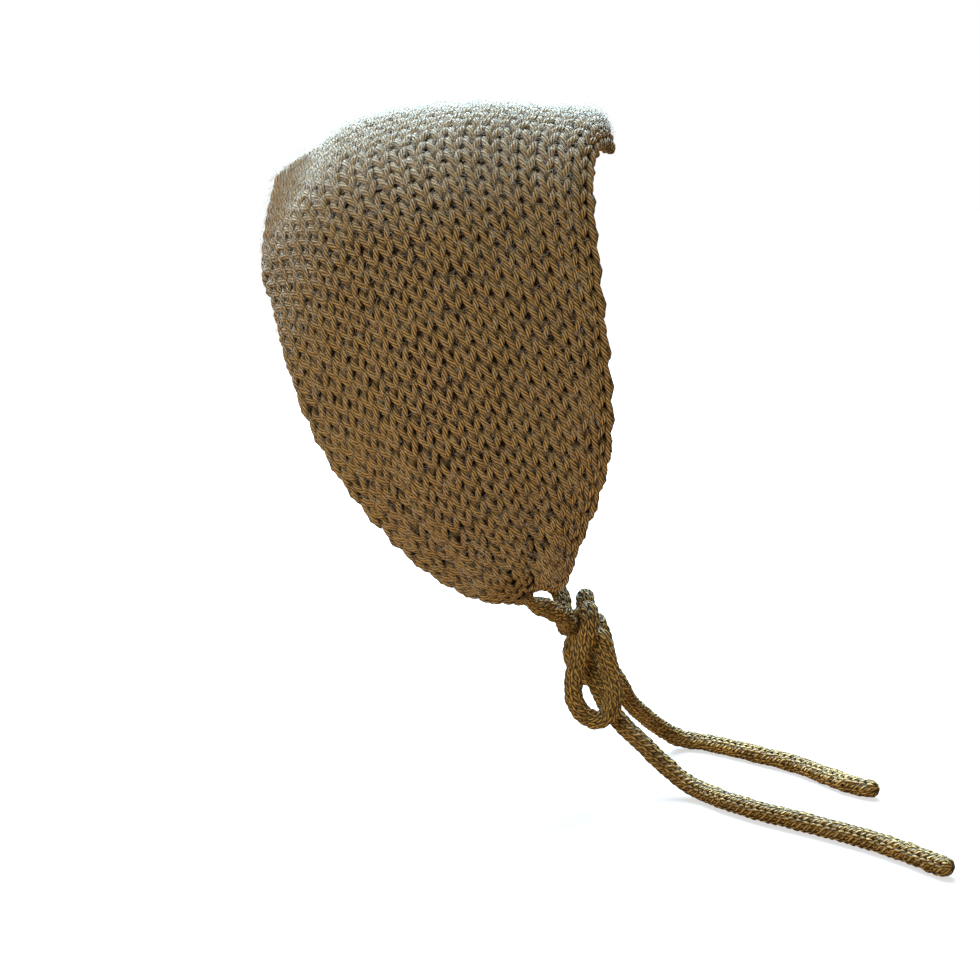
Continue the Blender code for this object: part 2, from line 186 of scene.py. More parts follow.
# At the ends rows and yarn become those of a tie, the stitches are drawn together from 3 mm before the
# end to 2 mm past it, and what lies past it goes forward and down.
END_ZONE = (0.90, 1.0)
END_PINCH = 0.5
PINCHED = (-0.003, 0.002)
END_DROP = (0.0, 0.7, 0.7)

# The dark sheet in the middle of the fabric, whose colour is painted shade seen through the holes between
# the loops: the width that it leaves free, how far under the middle of the wall it lies, and its thickness.
BACKING_ROWS = 100
BACKING_COLUMNS = 40
BACKING_EDGE = 0.004
BACKING_SINK = 0.0009
BACKING_HALF = 0.0002

# The stray fibres: how near the ends they lie and how evenly, the band of the width that they lie in, the
# range of their lengths as shares of the mean, how far they rise and curl as shares of their length, and
# how much of its rise a fibre has left at its tip. A fibre has five corners.
FIBRE_SEED = 5
FIBRE_ENDS = 0.97
FIBRE_EVENNESS = 0.3
FIBRE_BAND = (0.05, 1.0)
FIBRE_LENGTHS = (0.5, 1.5)
FIBRE_RISE = (-0.05, 0.35)
FIBRE_CURL = 0.25
FIBRE_TIP_RISE = (0.2, 1.6)
FIBRE_FACES = ((0, 2, 1), (0, 3, 2), (0, 1, 3), (4, 1, 2), (4, 2, 3), (4, 3, 1))

# The cords' routes, each on its own side: distance from the centre plane, back, up. PORTS are the flat
# faces of the knot, in diameters from its middle. A cord starts GAP away from its face and runs straight
# for LEAD diameters. Its end inside the knot lies at INTO_KNOT of the way from the middle to the face.
Place = namedtuple("Place", "out back up")
TIE_DIAMETER = 0.00765
LEAD = 0.65
GAP = 0.0003
INTO_KNOT = 0.4
KNOT = Place(0.0, -0.0450, -0.2145)
PORTS = {
    "standing": Place(0.76, 0.55, 0.00),
    "loop_back": Place(0.68, -0.04, 0.52),
    "loop_front": Place(0.76, -0.48, -0.34),
    "tail": Place(0.40, 0.12, -0.82),
}
STANDING_ROUTE = (
    Place(0.0490, -0.0183, -0.1908),
    Place(0.0440, -0.0203, -0.1950),
    Place(0.0330, -0.0285, -0.2012),
    Place(0.0225, -0.0350, -0.2070),
)
RIGHT_LOOP_ROUTE = (
    Place(0.0146, -0.0462, -0.2068),
    Place(0.0184, -0.0466, -0.2103),
    Place(0.0199, -0.0453, -0.2165),
    Place(0.0203, -0.0422, -0.2250),
    Place(0.0212, -0.0395, -0.2360),
    Place(0.0220, -0.0410, -0.2455),
    Place(0.0222, -0.0460, -0.2510),
    Place(0.0220, -0.0512, -0.2520),
    Place(0.0210, -0.0556, -0.2480),
    Place(0.0195, -0.0570, -0.2400),
    Place(0.0175, -0.0550, -0.2300),
    Place(0.0158, -0.0528, -0.2225),
    Place(0.0135, -0.0511, -0.2180),
)
LEFT_LOOP_ROUTE = (
    Place(0.0146, -0.0460, -0.2073),
    Place(0.0184, -0.0464, -0.2108),
    Place(0.0202, -0.0452, -0.2168),
    Place(0.0215, -0.0430, -0.2245),
    Place(0.0230, -0.0405, -0.2330),
    Place(0.0240, -0.0425, -0.2415),
    Place(0.0243, -0.0472, -0.2460),
    Place(0.0238, -0.0522, -0.2460),
    Place(0.0225, -0.0560, -0.2410),
    Place(0.0203, -0.0557, -0.2325),
    Place(0.0182, -0.0538, -0.2250),
    Place(0.0160, -0.0522, -0.2205),
    Place(0.0136, -0.0510, -0.2177),
)
RIGHT_TAIL_ROUTE = (
    Place(0.0062, -0.0460, -0.2300),
    Place(0.0062, -0.0487, -0.2365),
    Place(0.0055, -0.0517, -0.2437),
    Place(0.0065, -0.0552, -0.2514),
    Place(0.0080, -0.0604, -0.2572),
    Place(0.0100, -0.0689, -0.2651),
    Place(0.0140, -0.0800, -0.2751),
    Place(0.0180, -0.0878, -0.2808),
    Place(0.0240, -0.0948, -0.2830),
    Place(0.0336, -0.1020, -0.2832),
    Place(0.0475, -0.1145, -0.2832),
    Place(0.0598, -0.1293, -0.2832),
    Place(0.0706, -0.1418, -0.2832),
    Place(0.0822, -0.1542, -0.2832),
    Place(0.0957, -0.1658, -0.2832),
    Place(0.1080, -0.1745, -0.2832),
    Place(0.1155, -0.1805, -0.2832),
)
LEFT_TAIL_ROUTE = (
    Place(0.0068, -0.0463, -0.2290),
    Place(0.0088, -0.0525, -0.2360),
    Place(0.0120, -0.0597, -0.2432),
    Place(0.0190, -0.0656, -0.2548),
    Place(0.0320, -0.0743, -0.2665),
    Place(0.0435, -0.0835, -0.2762),
    Place(0.0492, -0.0920, -0.2822),
    Place(0.0478, -0.1010, -0.2832),
    Place(0.0405, -0.1115, -0.2832),
    Place(0.0285, -0.1248, -0.2832),
    Place(0.0160, -0.1385, -0.2832),
    Place(-0.0010, -0.1506, -0.2832),
    Place(-0.0139, -0.1594, -0.2832),
    Place(-0.0219, -0.1700, -0.2832),
)
SIDES = (("right", -1, RIGHT_LOOP_ROUTE, RIGHT_TAIL_ROUTE), ("left", 1, LEFT_LOOP_ROUTE, LEFT_TAIL_ROUTE))

# A cord's line: how finely its curve is read, the even steps that it is made of, how many of them a step
# of the declared path spans, and the direction that its frame starts from.
CORD_SAMPLES = 600
CORD_STEP = 0.0008
PATH_STRIDE = 3
FIRST_UP = (0.3, 0.2, 1.0)

# Where a cord is squeezed: the share of its thickness left, how long it stays so, and how soon it is
# whole again. A free end is rounded over a share of the cord's diameter, and closes until the square of
# its thickness is TIP_FLOOR.
KNOT_SQUEEZE = 0.75
KNOT_HOLD = 0.004
ROOT_SQUEEZE = 0.58
ROOT_HOLD = 0.008
SQUEEZE_LENGTH = 0.007
TIP_LENGTH = 0.45
TIP_FLOOR = 0.04

# How the stitches of a cord lie: what the heads of the last row add, as a share of a row, how much of
# their unevenness lies along the cord, how deep the yarn lies, in its diameters and for each unit of
# relief, how thin it gets at a closed end and how flat it is.
LAST_ROW = 0.4
UP_WAVER = 0.7
CORD_SINK = 0.30
RELIEF_SINK = 0.34
THIN_YARN = 0.45
CORD_FLATNESS = 0.9

# The knot: its turns, the radius and rise of a turn, where its ends close in, and the thickness of its
# cord.
KNOT_POINTS = 29
KNOT_WINDS = (-0.15, 2.0)
KNOT_CLOSED = (-0.25, 2.1)
KNOT_OPENING = 5
KNOT_TURN = 0.0036
KNOT_LAY = 0.0026
KNOT_CORD = 0.72

# The yarn's surface. Its maps hold the place along and around the yarn, and how far a spot lies from the
# middle of the fabric: the nearer the middle, the more painted shade, as in the grooves between the strands,
# while the darker fibre streaks are the yarn's own grain. Streaks are counted by the centimetre, by the
# strand and around the yarn. A floor is what is taken off after the gains, so that only what is above it
# shows. The top of the crown is painted paler, as painted light from above and behind, and this reaches
# lower towards the back.
YARN_MAP = "yarn"
REACH_MAP = "reach"
CENTIMETRES = 100
STREAKS = (4.0, 5.0, 3.0)
UNSHADED_FROM = 0.29
UNSHADED_GAIN = 2.6
STRAND_LIGHT = 1.8
FIBRE_LIGHT = 1.7
LIGHT_FLOOR = 1.45
FADED_SHARE = 0.5
PATCH_GAIN = 0.9
PATCH_FLOOR = 0.2
CROWN_LIGHT_LEAN = 0.2
STRAND_DEPTH = 0.0011
STRAND_HEIGHT = 0.8
FIBRE_HEIGHT = 0.35
# The dark sheet inside the fabric: the grain and relief of its surface, and the two colours of its painted
# shade.
SHADE_SHEET_GRAIN = 900.0
SHADE_SHEET_RELIEF = 0.0004
SHADE_SHEET_DARK = (0.008, 0.003, 0.001, 1.0)
SHADE_SHEET_PALE = (0.040, 0.020, 0.007, 1.0)

# The stage: where the floor fades and how strongly it glows before and after, and the colours of the
# light.
FLOOR_HEIGHT = -0.2872
FLOOR_FADE = (0.35, 1.1)
FLOOR_GLOW = (0.62, 1.02)
FLOOR_GREY = (0.45, 0.45, 0.45, 1.0)
FLOOR_BOUNCE = (0.32, 0.16, 0.07, 1.0)
WHITE = (1.0, 1.0, 1.0, 1.0)
SKY_COLOUR = (1.0, 0.86, 0.66, 1.0)
KEY_COLOUR = (0.53, 0.77, 1.0)
TOP_COLOUR = (0.70, 0.87, 1.0)
FILL_COLOUR = (1.0, 0.91, 0.74)
LIGHT_AIM = (0.0, 0.0, -0.1)


def unit(vectors):
    """Vectors of length one."""
    return vectors / np.maximum(np.linalg.norm(vectors, axis=-1, keepdims=True), 1e-12)


def smooth(values):
    """Ease from 0 to 1."""
    values = np.clip(values, 0.0, 1.0)
    return values * values * (3 - 2 * values)


def ramp(values, start, end):
    """Ease from 0 at start to 1 at end, whichever of the two is the larger."""
    return smooth((values - start) / (end - start))


def spline(keys, values, at):
    """Read a smooth curve that passes through values, one for each key, at the given places."""
    keys = np.asarray(keys, float)
    values = np.asarray(values, float)
    at = np.asarray(at, float)
    steps = np.diff(keys)[:, None]
    slopes = np.diff(values, axis=0) / steps
    tangents = np.empty_like(values)
    tangents[1:-1] = (slopes[:-1] * steps[1:] + slopes[1:] * steps[:-1]) / (steps[:-1] + steps[1:])
    tangents[0] = 1.5 * slopes[0] - 0.5 * tangents[1]
    tangents[-1] = 1.5 * slopes[-1] - 0.5 * tangents[-2]
    index = np.clip(np.searchsorted(keys, at, side="right") - 1, 0, len(keys) - 2)
    width = steps[index]
    t = (at - keys[index])[:, None] / width
    start_weight = (1 + 2 * t) * (1 - t) ** 2
    start_slope = t * (1 - t) ** 2
    end_slope = t ** 2 * (t - 1)
    return (values[index] * start_weight + values[index + 1] * (1 - start_weight)
            + width * (tangents[index] * start_slope + tangents[index + 1] * end_slope))


def distances(points):
    """How far along a line each of its points lies."""
    return np.concatenate(([0.0], np.cumsum(np.linalg.norm(np.diff(points, axis=0), axis=1))))


def read_line(line, along, at):
    """What a line holds at the places in at, where along says how far along it each of its rows lies."""
    return np.stack([np.interp(at, along, values) for values in line.T], axis=1)


def wavering(count, size, seed):
    """Small numbers that say how uneven each stitch of a hand-knitted row is."""
    return np.random.default_rng(seed).normal(0.0, size, count)


def add_piece(name, vertices, faces, look):
    """A smooth object of one material in the scene."""
    mesh = bpy.data.meshes.new(name)
    mesh.from_pydata(vertices, [], faces)
    mesh.shade_smooth()
    mesh.materials.append(look)
    piece = bpy.data.objects.new(name, mesh)
    bpy.context.scene.collection.objects.link(piece)
    return piece


class Strip:
    """The outside of the knitted strip, read at any place along and across it."""

    def __init__(self):
        alongs = np.linspace(0.0, 1.0, STRIP_ROWS + 1)
        acrosses = np.linspace(0.0, 1.0, STRIP_COLUMNS + 1)
        half = np.array([spline(STATIONS, row, acrosses) for row in self.stations_at(alongs)])
        near = half * (-1, 1, 1)
        self.places = np.vstack((half[:0:-1], near))
        self.normals = self.outward(self.places)
        depths = self.fold_depths(alongs, acrosses)
        depths = np.vstack((depths[:0:-1], depths))
        self.places = self.places + self.normals * depths[:, :, None]
        self.normals = self.outward(self.places)
        self.soften_seam()
        self.even_out()
        middle = distances(self.places[:, STRIP_COLUMNS // 2])
        self.lengths = middle - middle[STRIP_ROWS]
        self.widths = np.linalg.norm(np.diff(self.places, axis=1), axis=2).sum(axis=1)

    def soften_seam(self):
        """Round and fill out the fold and the seam behind the crown, where both back edges meet."""
        along = np.abs(np.linspace(-1.0, 1.0, 2 * STRIP_ROWS + 1))[:, None]
        across = np.linspace(0.0, 1.0, STRIP_COLUMNS + 1)[None, :]
        weight = (ramp(along, *ROUNDED_ALONG) * ramp(across, *ROUNDED_ACROSS))[:, :, None]
        sewn = along[:, :, None] <= OUT[SEAM_SECTION].along
        for grid in (self.places, self.normals):
            for _ in range(SEAM_ROUNDING):
                beyond = np.where(sewn, grid[::-1, -2:-1], grid[:, -1:])
                sides = np.concatenate((grid[:, :1], grid, beyond), axis=1)
                ends = np.concatenate((grid[:1], grid, grid[-1:]))
                mean = (sides[:, :-2] + sides[:, 2:] + ends[:-2] + ends[2:]) / 4
                grid += weight * (mean - grid)
        self.normals = unit(self.normals)
        filled = ramp(along, *FILLED_ALONG) * ramp(across, *FILLED_ACROSS)
        self.places += self.normals * filled[:, :, None] * SEAM_FILL

    def even_out(self):
        """Slide the points of each row along it until they lie evenly, as the wales of a knitted row do."""
        shares = np.linspace(0.0, 1.0, STRIP_COLUMNS + 1)
        for number, row in enumerate(self.places):
            along = distances(row)
            for grid in (self.places, self.normals):
                grid[number] = read_line(grid[number], along, shares * along[-1])
        self.normals = unit(self.normals)

    @staticmethod
    def outward(places):
        """The direction out of the surface at each of its points."""
        down = np.gradient(places, axis=0)
        back = np.gradient(places, axis=1)
        return unit(np.cross(back, down))

    @staticmethod
    def stations_at(alongs):
        """Out, back and up of every station at each place along one half."""
        read = []
        for table, sign in ((OUT, -1), (BACK, 1), (DROP, 1)):
            rows = np.array(table)
            beyond = rows[2:0:-1].copy()
            beyond[:, 0] *= -1
            beyond[:, 1:] *= sign
            rows = np.vstack((beyond, rows))
            read.append(spline(rows[:, 0], rows[:, 1:], alongs))
        out, back, drop = read
        free_edge = np.array(OUT)[SEAM_SECTION:]
        opened = spline(free_edge[:, 0], free_edge[:, -1:], alongs)[:, 0]
        out[:, -1] = np.where(alongs > free_edge[0, 0], opened, 0.0)
        return np.stack((out * HOOD_WIDTH / 2, back * HOOD_DEPTH, WALL - drop * HOOD_HEIGHT), axis=2)

    @staticmethod
    def fold_depths(alongs, acrosses):
        """How far the folds push each point of one half outwards."""
        along, across = np.meshgrid(alongs, acrosses, indexing="ij")
        depths = np.zeros_like(along)
        for fold in FOLDS:
            share = np.clip((along - fold.start) / (fold.end - fold.start), 0.0, 1.0)
            middle = fold.start_across + share * (fold.end_across - fold.start_across)
            fade = np.sin(np.pi * share) ** FOLD_FADE
            depths += fold.depth * WALL * fade * np.exp(-((across - middle) / fold.width) ** 2)
        return depths

    def read(self, rows, acrosses):
        """Places and outward directions at fractional rows of the grid and shares of the width."""
        columns = acrosses * STRIP_COLUMNS
        row = np.clip(rows.astype(int), 0, 2 * STRIP_ROWS - 1)
        column = np.clip(columns.astype(int), 0, STRIP_COLUMNS - 1)
        down = (rows - row)[:, None]
        side = (columns - column)[:, None]
        found = []
        for grid in (self.places, self.normals):
            top = grid[row, column] * (1 - side) + grid[row, column + 1] * side
            low = grid[row + 1, column] * (1 - side) + grid[row + 1, column + 1] * side
            found.append(top * (1 - down) + low * down)
        return found[0], unit(found[1])


def whole_loop(samples):
    """One stitch from arc to arc, with the given number of points on each half."""
    half = np.array(LOOP)
    keys = distances(half * LOOP_SIZE)
    half = spline(keys, half, np.linspace(0.0, keys[-1], samples + 1))
    return np.vstack((half, half[-2:0:-1] * (-1, 1, 1)))


def write_map(mesh, name, grid):
    """Write a UV map of a yarn, whose values are given ring by ring and around each ring."""
    sides = np.stack((grid[:-1, :-1], grid[1:, :-1], grid[1:, 1:], grid[:-1, 1:]), axis=2).reshape(-1, 2)
    ends = np.vstack((grid[0, :-1], grid[-1, :-1][::-1]))
    mesh.uv_layers.new(name=name)
    mesh.uv_layers[name].data.foreach_set("uv", np.vstack((sides, ends)).ravel())


def yarn_piece(name, path, outward, radii, heights, flatness, look):
    """A tube of yarn along a path, flatter or taller in the outward direction.

    heights says how far the yarn stands out of the fabric at each point of the path, in yarn diameters. One
    UV map holds the place along the yarn in centimetres and around it as a share, the other how far each spot
    lies from the middle of the fabric.
    """
    forward = unit(np.gradient(path, axis=0))
    across = unit(np.cross(forward, outward))
    up = np.cross(across, forward)
    turns = np.arange(YARN_SIDES) * 2 * np.pi / YARN_SIDES
    rings = (path[:, None, :]
             + radii[:, None, None] * (-np.cos(turns)[None, :, None] * flatness * up[:, None, :]
                                       + np.sin(turns)[None, :, None] * across[:, None, :]))
    count = len(path)
    index = np.arange(count * YARN_SIDES).reshape(count, YARN_SIDES)
    here, there = index[:-1], index[1:]
    quads = np.stack((here, there, np.roll(there, -1, axis=1), np.roll(here, -1, axis=1)), axis=2)
    faces = quads.reshape(-1, 4).tolist() + [index[0].tolist(), index[-1][::-1].tolist()]
    piece = add_piece(name, rings.reshape(-1, 3), faces, look)
    along = np.repeat(distances(path)[:, None], YARN_SIDES + 1, axis=1) * CENTIMETRES
    around = np.repeat(np.arange(YARN_SIDES + 1)[None, :] / YARN_SIDES, count, axis=0)
    write_map(piece.data, YARN_MAP, np.stack((along, around), axis=2))
    # How far each spot lies from the middle of the fabric, from which the material paints shade.
    reach = np.abs(heights[:, None] - 0.5 * np.cos(around * 2 * np.pi))
    write_map(piece.data, REACH_MAP, np.stack((reach, around), axis=2))
    return piece


class Socket:
    """A value in a material's node tree, to be used in plain sums."""

    def __init__(self, tree, output):
        self.tree = tree
        self.output = output

    def math(self, operation, *terms):
        """One Math node."""
        return self.tree.add("ShaderNodeMath", {"operation": operation}, dict(enumerate(terms)))

    def __add__(self, other):
        return self.math("ADD", self, other)

    def __radd__(self, other):
        return self.math("ADD", other, self)

    def __sub__(self, other):
        return self.math("SUBTRACT", self, other)

    def __rsub__(self, other):
        return self.math("SUBTRACT", other, self)

    def __mul__(self, other):
        return self.math("MULTIPLY", self, other)

    def __rmul__(self, other):
        return self.math("MULTIPLY", other, self)

    def sine(self):
        """The sine of a value in radians."""
        return self.math("SINE", self)

    def size(self):
        """A value without its sign."""
        return self.math("ABSOLUTE", self)

    def share(self):
        """A value kept between 0 and 1."""
        return self.tree.add("ShaderNodeClamp", {}, {0: self})


class Tree:
    """The nodes of a material or a world."""

    def __init__(self, owner):
        self.owner = owner
        self.owner.use_nodes = True
        self.nodes = owner.node_tree.nodes
        self.links = owner.node_tree.links

    def add(self, kind, settings, inputs, output=0):
        """Add a node: its settings first, then the values or links of its sockets."""
        node = self.nodes.new(kind)
        for key, value in settings.items():
            setattr(node, key, value)
        for key, value in inputs.items():
            self.feed(node.inputs[key], value)
        return Socket(self, node.outputs[output])

    def feed(self, socket, value):
        """Link a value to a socket, or set it."""
        if isinstance(value, Socket):
            self.links.new(value.output, socket)
        else:
            socket.default_value = value

    def mix(self, share, first, second):
        """A colour between two others, through the numbers of a Mix node's colour sockets."""
        return self.add("ShaderNodeMix", {"data_type": "RGBA"}, {0: share, 6: first, 7: second}, 2)

    def noise(self, place, scale, detail):
        """Soft noise over a place."""
        return self.add("ShaderNodeTexNoise", {}, {"Vector": place, "Scale": scale, "Detail": detail})

    def place(self):
        """Where a spot lies, in metres."""
        return self.add("ShaderNodeTexCoord", {}, {}, "Object")

    def uv_map(self, name):
        """What a UV map holds."""
        return self.add("ShaderNodeUVMap", {"uv_map": name}, {})

    def part(self, vector, axis):
        """One of a vector's three numbers."""
        return self.add("ShaderNodeSeparateXYZ", {}, {0: vector}, axis)

    def surface(self, **inputs):
        """Set the shader's own sockets."""
        shader = self.nodes["Principled BSDF"]
        for key, value in inputs.items():
            self.feed(shader.inputs[key.replace("_", " ").title().replace("Ior", "IOR")], value)
        return self.owner

    def by_ray(self, output, others, seen):
        """One shader for the camera's own rays, and another for all others."""
        camera = self.add("ShaderNodeLightPath", {}, {}, "Is Camera Ray")
        both = self.add("ShaderNodeMixShader", {}, {0: camera, 1: others, 2: seen})
        self.feed(self.nodes[output].inputs["Surface"], both)
        return self.owner


def yarn_material(name, settings, colour, strands, twist, sheen):
    """Plied yarn: strands that wind around it, fibres along the strands, and paler patches at random.

    It also carries painted shade in the grooves between the strands and where the yarn dips into the fabric,
    and painted light that makes the top of the crown paler.
    """
    tree = Tree(bpy.data.materials.new(name))
    spot = tree.uv_map(YARN_MAP)
    along = tree.part(spot, 0)
    around = tree.part(spot, 1)
    winding = around * strands + along * twist
    strand = (winding * math.pi).sine().size()
    streaks = {0: along * STREAKS[0], 1: winding * STREAKS[1], 2: around * STREAKS[2]}
    fibre = tree.noise(tree.add("ShaderNodeCombineXYZ", {}, streaks), 1.0, 2.0)
    place = tree.place()
    patch = tree.noise(place, settings.patch_scale, 3.0)
    reach = tree.part(tree.uv_map(REACH_MAP), 0)
    # Painted shade: the yarn darkens where it dips towards the middle of the fabric, between and under the
    # loops.
    unshaded = ((reach - UNSHADED_FROM) * UNSHADED_GAIN).share()
    # Painted shade in the grooves between the strands; the darker fibre streaks are the yarn's own grain.
    lit = (strand * STRAND_LIGHT + fibre * FIBRE_LIGHT - LIGHT_FLOOR).share()
    hue = tree.mix(unshaded * lit, tuple(settings.painted_shade_colour), tuple(colour))
    faded = tree.mix(FADED_SHARE, hue, tuple(settings.faded_colour))
    hue = tree.mix(patch * PATCH_GAIN - PATCH_FLOOR, hue, faded)
    # Painted light: the yarn turns paler towards the top of the crown, and reaches lower towards the back.
    height = tree.part(place, 2) + tree.part(place, 1) * CROWN_LIGHT_LEAN
    crown_lit = ((height + settings.crown_light_depth) * (1 / settings.crown_light_depth)).share()
    hue = tree.mix(crown_lit * settings.crown_light_share, hue, tuple(settings.crown_light_colour))
    bump = tree.add("ShaderNodeBump", {}, {"Strength": settings.strand_relief, "Distance": STRAND_DEPTH,
                                           "Height": strand * STRAND_HEIGHT + fibre * FIBRE_HEIGHT})
    return tree.surface(base_color=hue, roughness=settings.roughness, normal=bump, sheen_weight=sheen,
                        sheen_roughness=0.45, specular_ior_level=0.2)


def shade_sheet_material(name):
    """A near-black sheet of painted shade, with a slight grain, seen in the holes between the loops."""
    tree = Tree(bpy.data.materials.new(name))
    grain = tree.noise(tree.place(), SHADE_SHEET_GRAIN, 3.0)
    hue = tree.mix(grain, SHADE_SHEET_DARK, SHADE_SHEET_PALE)
    bump = tree.add("ShaderNodeBump", {}, {"Strength": 0.6, "Distance": SHADE_SHEET_RELIEF, "Height": grain})
    return tree.surface(base_color=hue, roughness=0.95, normal=bump)


def fibre_material(name, settings):
    """A single fibre, paler than the yarn it sticks out of."""
    tree = Tree(bpy.data.materials.new(name))
    return tree.surface(base_color=tuple(settings.fibre_colour), roughness=0.7, sheen_weight=0.4,
                        specular_ior_level=0.3)


def floor_material(name):
    """A pale floor that fades to white away from the bonnet, and throws little of its light back."""
    tree = Tree(bpy.data.materials.new(name))
    distance = tree.add("ShaderNodeVectorMath", {"operation": "LENGTH"}, {0: tree.place()}, "Value")
    glow = tree.add("ShaderNodeMapRange", {}, {
        "Value": distance, "From Min": FLOOR_FADE[0], "From Max": FLOOR_FADE[1],
        "To Min": FLOOR_GLOW[0], "To Max": FLOOR_GLOW[1]})
    lit = tree.add("ShaderNodeBsdfDiffuse", {}, {"Color": FLOOR_GREY})
    white = tree.add("ShaderNodeEmission", {}, {"Color": WHITE, "Strength": glow})
    pale = tree.add("ShaderNodeAddShader", {}, {0: lit, 1: white})
    dim = tree.add("ShaderNodeBsdfDiffuse", {}, {"Color": FLOOR_BOUNCE})
    return tree.by_ray("Material Output", dim, pale)


def studio_world(name, strength):
    """White where the camera looks, and a warm, weaker light on the bonnet."""
    tree = Tree(bpy.data.worlds.new(name))
    backdrop = tree.add("ShaderNodeBackground", {}, {"Color": WHITE, "Strength": 1.0})
    around = tree.add("ShaderNodeBackground", {}, {"Color": SKY_COLOUR, "Strength": strength})
    return tree.by_ray("World Output", around, backdrop)


def number_setting(name, description, default, **more):
    """A number that a user can change."""
    return bpy.props.FloatProperty(name=name, description=description, default=default, **more)


def size_setting(name, description, default, **more):
    """A length in metres."""
    return number_setting(name, description, default, subtype="DISTANCE", unit="LENGTH", **more)


def factor_setting(name, description, default):
    """A share between 0 and 1."""
    return number_setting(name, description, default, min=0.0, max=1.0, subtype="FACTOR")


def colour_setting(name, description, default):
    """A colour with its alpha."""
    return bpy.props.FloatVectorProperty(name=name, description=description, default=default, size=4,
                                         subtype="COLOR")


def position_setting(name, description, default):
    """A place in metres."""
    return bpy.props.FloatVectorProperty(name=name, description=description, default=default,
                                         subtype="TRANSLATION", unit="LENGTH")


class YarnSettings(bpy.types.PropertyGroup):
    """The yarn."""

    diameter: size_setting("Yarn diameter", "Thickness of the yarn in the hood", 0.00260, min=0.001)
    cord_diameter: size_setting("Yarn in cords", "Thickness of the yarn in a tie", 0.0021, min=0.001)
    strands: number_setting("Strands", "How many strands show around the yarn", 6.0)
    strand_twist: number_setting("Strand twist", "Strands that pass in a centimetre", -5.0)
    strand_relief: number_setting("Strand relief", "How deep the strands stand out", 1.0)
    yarn_colour: colour_setting("Yarn colour", "Colour on the strands", (0.84, 0.545, 0.205, 1.0))
    # Painted shade in the grooves between the strands and where the yarn dips into the fabric.
    painted_shade_colour: colour_setting("Painted shade colour", "Painted shade between the strands and in the fabric", (0.034, 0.012, 0.002, 1.0))
    faded_colour: colour_setting("Faded colour", "Colour of the paler patches", (0.74, 0.54, 0.25, 1.0))
    patch_scale: number_setting("Patch scale", "Shade changes in a metre", 45.0)
    # Painted light: these make the top of the crown paler, as light from above and behind would.
    crown_light_colour: colour_setting("Crown light colour", "Colour of the painted light on the crown", (0.86, 0.74, 0.54, 1.0))
    crown_light_share: factor_setting("Crown light share", "How strongly painted light pales the top of the crown", 0.42)
    crown_light_depth: size_setting("Crown light depth", "How far down from the top the painted light reaches", 0.042)
    fibres: bpy.props.IntProperty(
        name="Fibres", description="How many fibres stick out of the hood", default=30000)
    fibre_colour: colour_setting(
        "Fibre colour", "Colour of the fibres that stick out", (0.95, 0.92, 0.84, 1.0))
    fibre_length: size_setting("Fibre length", "Mean length of such a fibre", 0.0040)
    fibre_thickness: size_setting("Fibre thickness", "Thickness of such a fibre", 0.00009)
    roughness: factor_setting("Roughness", "How matt the yarn is", 0.52)
    sheen: factor_setting("Sheen", "How much the fibre ends catch light", 0.14)


class HoodSettings(bpy.types.PropertyGroup):
    """How the hood is knitted."""

    wales: number_setting("Wales", "Columns of stitches over the crown", 23.0)
    wale_width: size_setting("Wale width", "Width of a stitch where the strip narrows", 0.0067)
    end_wales: number_setting("End wales", "Columns left where a tie begins", 3.0)
    row_height: size_setting("Row height", "Height of a stitch", 0.0069)
    end_row_height: size_setting("End row height", "Height of a stitch by the tie", 0.0056)


class TieSettings(bpy.types.PropertyGroup):
    """How the ties are knitted."""

    wales: bpy.props.IntProperty(
        name="Cord wales", description="Columns of stitches around a cord", default=6)
    row_height: size_setting("Cord row height", "Height of a stitch in a cord", 0.0034)
    relief: number_setting("Cord relief", "How far the stitches of a cord stand out", 0.55)
    unevenness: number_setting("Unevenness", "How much the stitches of a cord differ", 0.07)
    strands: number_setting("Cord strands", "How many strands show around the yarn of a cord", 4.0)
    strand_twist: number_setting("Cord strand twist", "Strands of it that pass in a centimetre", -4.0)
    colour: colour_setting("Cord colour", "Colour of the yarn in the cords", (0.92, 0.60, 0.18, 1.0))
    sheen: factor_setting("Cord sheen", "Strength of the cords' soft rim light", 0.03)


class StageSettings(bpy.types.PropertyGroup):
    """The camera, floor and light."""

    camera_place: position_setting("Camera place", "Where the camera stands", (-0.850, -0.00425, -0.004))
    camera_dip: number_setting(
        "Camera dip", "How far the camera looks down", math.radians(10.2), subtype="ANGLE", unit="ROTATION")
    lens: number_setting("Lens", "Focal length in millimetres", 74.35)
    key_power: number_setting("Key power", "Light from behind in watts", 95.0)
    key_place: position_setting("Key place", "Where the light from behind hangs", (0.87, 0.12, 0.70))
    key_size: size_setting("Key size", "Side of the lights from behind and overhead", 1.2)
    top_power: number_setting("Top power", "Light from overhead in watts", 10.0)
    top_place: position_setting("Top place", "Where the overhead light hangs", (0.62, 0.08, 0.95))
    fill_power: number_setting("Fill power", "Light from near the camera in watts", 3.0)
    fill_place: position_setting("Fill place", "Where the light by the camera hangs", (-0.80, 0.30, 0.12))
    fill_size: size_setting("Fill size", "Side of the light by the camera", 0.35)
    sky: number_setting("Sky", "Strength of the light from all around", 0.10)
    floor_reach: size_setting("Floor reach", "How far the floor runs each way", 6.0)


